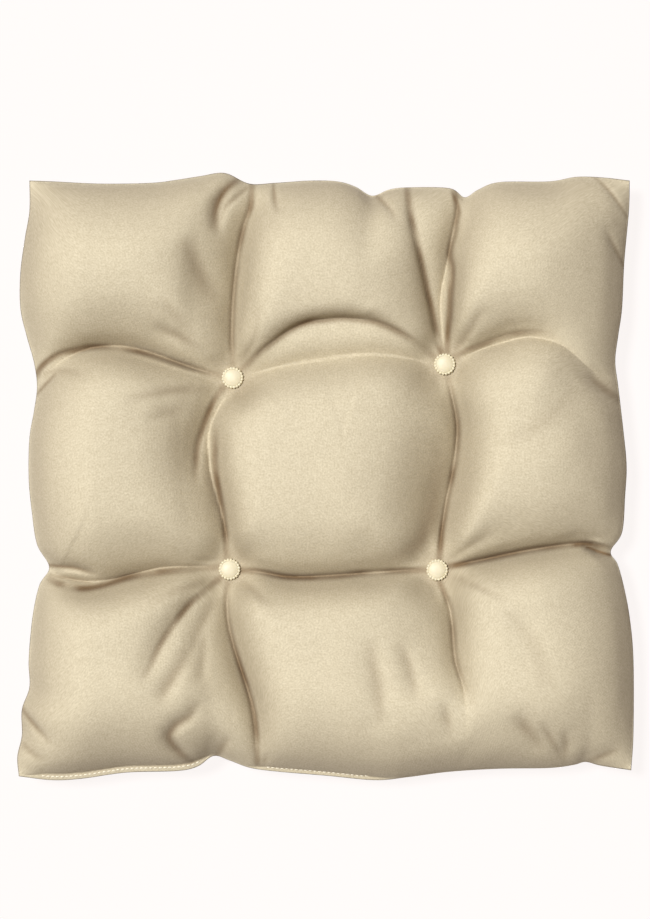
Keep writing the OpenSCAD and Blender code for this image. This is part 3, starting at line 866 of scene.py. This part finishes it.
def polycotton():
    """Matt polycotton, loosely woven of off-white and straw yarns. The weave shows as a fine crossed grain
    and the uneven yarns as a soft mottle; a nap of loose fibres lightens it where it turns away. Painted
    shade darkens the colour towards brown along the points' crease attribute."""
    material, tree, shader = new_material("woven_polycotton_straw")
    cloth = add(tree, "ShaderNodeUVMap", {"uv_map": "cloth"}).outputs["UV"]
    weft = add(tree, "ShaderNodeTexWave", {"bands_direction": "X"},
               {"Vector": cloth, "Scale": period(1.1), "Distortion": 1.2, "Detail": 2.0, "Detail Scale": 1.5})
    warp = add(tree, "ShaderNodeTexWave", {"bands_direction": "Y"},
               {"Vector": cloth, "Scale": period(1.1), "Distortion": 1.2, "Detail": 2.0, "Detail Scale": 1.5})
    weave = add(tree, "ShaderNodeMath", {"operation": "MULTIPLY"},
                {0: weft.outputs["Fac"], 1: warp.outputs["Fac"]})
    slubs = add(tree, "ShaderNodeTexNoise", None, {"Vector": cloth, "Scale": 800.0, "Detail": 3.0})
    mottle = add(tree, "ShaderNodeTexNoise", None, {"Vector": cloth, "Scale": 200.0, "Detail": 4.0})
    tone = add(tree, "ShaderNodeMix", {"data_type": "FLOAT"},
               {"Factor": 0.25, 2: slubs.outputs["Fac"], 3: mottle.outputs["Fac"]})
    yarn = two_tones(tree, tone.outputs[0], "#beb397", "#d5cbb0")
    yarn.color_ramp.elements[0].position, yarn.color_ramp.elements[1].position = 0.34, 0.66
    # painted shade: the crease attribute multiplies the yarn colour towards dark brown in creases, hollow
    # folds, round the tufts and on steep fabric
    depth = add(tree, "ShaderNodeAttribute", {"attribute_name": "crease"})
    crease = two_tones(tree, depth.outputs["Fac"], "#ffffff", "#7f6341")
    shaded = add(tree, "ShaderNodeMix", {"data_type": "RGBA", "blend_type": "MULTIPLY"},
                 {"Factor": 1.0, 6: yarn.outputs["Color"], 7: crease.outputs["Color"]})
    tree.links.new(shaded.outputs[2], shader.inputs["Base Color"])
    relief = add(tree, "ShaderNodeMath", {"operation": "MULTIPLY_ADD"},
                 {0: slubs.outputs["Fac"], 1: 0.8, 2: weave.outputs[0]})
    raise_by(tree, shader, relief.outputs[0], 0.35, 0.25)
    shader.inputs["Roughness"].default_value = 0.88
    shader.inputs["Specular IOR Level"].default_value = 0.25
    shader.inputs["Sheen Weight"].default_value = 0.05
    shader.inputs["Sheen Roughness"].default_value = 0.5
    return material


def moulded_button_plastic():
    """Cream polyester resin, moulded and tumbled: a soft shine, with faint clouds of colour."""
    material, tree, shader = new_material("moulded_resin_cream")
    place = add(tree, "ShaderNodeTexCoord").outputs["Object"]
    clouds = add(tree, "ShaderNodeTexNoise", None, {"Vector": place, "Scale": 260.0, "Detail": 3.0})
    colour = two_tones(tree, clouds.outputs["Fac"], "#d0c6a6", "#dcd4b8")
    tree.links.new(colour.outputs["Color"], shader.inputs["Base Color"])
    raise_by(tree, shader, clouds.outputs["Fac"], 0.15, 0.05)
    shader.inputs["Roughness"].default_value = 0.5
    shader.inputs["Subsurface Weight"].default_value = 0.1
    shader.inputs["Subsurface Radius"].default_value = (0.0012, 0.001, 0.0007)
    shader.inputs["Subsurface Scale"].default_value = 1.0
    return material


def twisted_yarn(name, dark, light, twist_mm):
    """Spun yarn: two plies twisted together, which show as slanting bands of light and shade."""
    material, tree, shader = new_material(name)
    place = add(tree, "ShaderNodeTexCoord").outputs["Object"]
    plies = add(tree, "ShaderNodeTexWave", {"bands_direction": "DIAGONAL"},
                {"Vector": place, "Scale": period(twist_mm), "Distortion": 0.6})
    colour = two_tones(tree, plies.outputs["Fac"], dark, light)
    tree.links.new(colour.outputs["Color"], shader.inputs["Base Color"])
    raise_by(tree, shader, plies.outputs["Fac"], 0.4, 0.1)
    shader.inputs["Roughness"].default_value = 0.7
    shader.inputs["Sheen Weight"].default_value = 0.3
    return material


def fibre():
    """White hollow-fibre polyester, carded and bonded: a cloudy, slightly sparkling mass."""
    material, tree, shader = new_material("bonded_polyester_fibre")
    place = add(tree, "ShaderNodeTexCoord").outputs["Object"]
    strands = add(tree, "ShaderNodeTexNoise", None,
                  {"Vector": place, "Scale": 300.0, "Detail": 6.0, "Distortion": 2.0})
    colour = two_tones(tree, strands.outputs["Fac"], "#dcdcd6", "#fbfbf8")
    tree.links.new(colour.outputs["Color"], shader.inputs["Base Color"])
    raise_by(tree, shader, strands.outputs["Fac"], 0.8, 1.0)
    shader.inputs["Roughness"].default_value = 0.95
    return material


def finish_piece(piece, material, slot, *nodes):
    """Gives a new piece its material and hides the CAD nodes that it stands for. The slot is not used."""
    piece.data.materials.append(material)
    if nodes:
        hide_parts(*nodes)
    return piece


# ---- the camera, the light and the floor ----


def aim(name, data, place, target):
    """Puts a camera or a lamp at a place, pointing at a target, in metres."""
    made = bpy.data.objects.new(name, data)
    bpy.context.scene.collection.objects.link(made)
    made.location = place
    line = np.array(target) - np.array(place)
    made.rotation_euler = (math.acos(-line[2] / np.linalg.norm(line)), 0,
                           math.atan2(-line[0], line[1]) if abs(line[0]) + abs(line[1]) > 1e-6 else 0)
    return made


def far_softbox(name, place, spread, strength, colour):
    """A large lamp so far away that its light is even: spread is the angle it fills, in degrees."""
    data = bpy.data.lights.new(name, "SUN")
    data.angle, data.energy, data.color = math.radians(spread), strength, linear(colour)[:3]
    return aim(name, data, place, (0, 0, 0))


def stage():
    """A plain pale floor that glows, so that hardly any shadow shows on it, and soft studio light: a
    large lamp high on the left, towards the back, and an even sky."""
    scene = bpy.context.scene
    scene.view_settings.view_transform = "Standard"
    view_high, distance, sensor = 0.603, 2.6, 36.0
    camera = bpy.data.cameras.new("camera")
    camera.sensor_fit, camera.sensor_height, camera.sensor_width = "VERTICAL", sensor, sensor
    camera.lens = sensor * distance / view_high
    scene.camera = aim("camera", camera, (0, 0.012, distance + 0.045), (0, 0.012, 0))
    world = bpy.data.worlds.new("studio")
    scene.world = world
    world.use_nodes = True
    world.node_tree.nodes["Background"].inputs["Color"].default_value = linear("#ffcb98")
    world.node_tree.nodes["Background"].inputs["Strength"].default_value = 0.11
    far_softbox("key", (-0.87, 0.47, 2.5), 12.0, 4.4, "#fbfcff")
    bpy.ops.mesh.primitive_plane_add(size=8.0)
    floor = bpy.context.object
    floor.name = "floor"
    paper, _, shader = new_material("matt_paper")
    shader.inputs["Base Color"].default_value = linear("#3a3a39")
    shader.inputs["Roughness"].default_value = 0.95
    shader.inputs["Emission Color"].default_value = linear("#fffaf8")
    shader.inputs["Emission Strength"].default_value = 0.94
    floor.data.materials.append(paper)


stage()
fabric, plastic = polycotton(), moulded_button_plastic()
thread = twisted_yarn("spun_polyester_thread", "#e2d9bd", "#fbf6e4", 0.5)
cord = twisted_yarn("waxed_tufting_cord", "#d8cfb4", "#f0e9d3", 0.9)

plan = plan_inside_seam(GRID)
top, bottom, top_shade, bottom_shade = settled_covers(plan)
top_piece = cover_shell("top_cover_fabric", top, top_shade, 1)
finish_piece(top_piece, fabric, "cover_fabric", "top_cover")
bottom_piece = cover_shell("bottom_cover_fabric", bottom, bottom_shade, -1)
finish_piece(bottom_piece, fabric, "cover_fabric", "bottom_cover")
filling = finish_piece(stuffing(top, bottom), fibre(), "fibre", "fibre_filling")

margin = band_along_seam("turned_in_seam_margin", plan, [(5.5, -0.5), (12.5, -0.5), (12.5, 0.5), (5.5, 0.5)])
finish_piece(margin, fabric, "cover_fabric", "seam_margin")
seam_row = band_along_seam("inside_seam_row", plan, tube_section(6.4, 0.82, 0.3))
finish_piece(seam_row, thread, "thread", "edge_seam_thread")


def lip_line(cover, up, start, end):
    """The line of the topstitching on a cover: a row of the grid just in from the front seam."""
    line = cover[LIP_ROW]
    return line[(line[:, 0] >= start) & (line[:, 0] <= end)] + (0, 0, 0.1 * up), up


STITCHED = [(-188, -79), (-40, 32)]
lines = [lip_line(cover, up, *span) for cover, up in ((top, 1), (bottom, -1)) for span in STITCHED]
topstitching = stitches("front_closing_topstitch", lines, 3.1, 2.4, 0.75)
finish_piece(topstitching, thread, "thread", "closing_stitches")

for tuft, name in zip(TUFTS, TUFT_NAMES):
    upper = button("top_button_%s_moulded" % name, (*tuft, TOP_SEAT_Z), 1)
    lower = button("under_button_%s_moulded" % name, (*tuft, UNDER_SEAT_Z), -1)
    finish_piece(upper, plastic, "button_plastic", "top_button_" + name)
    finish_piece(lower, plastic, "button_plastic", "under_button_" + name)
    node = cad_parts["tuft_cord_" + name]
    node.data.materials.clear()
    node.data.materials.append(cord)
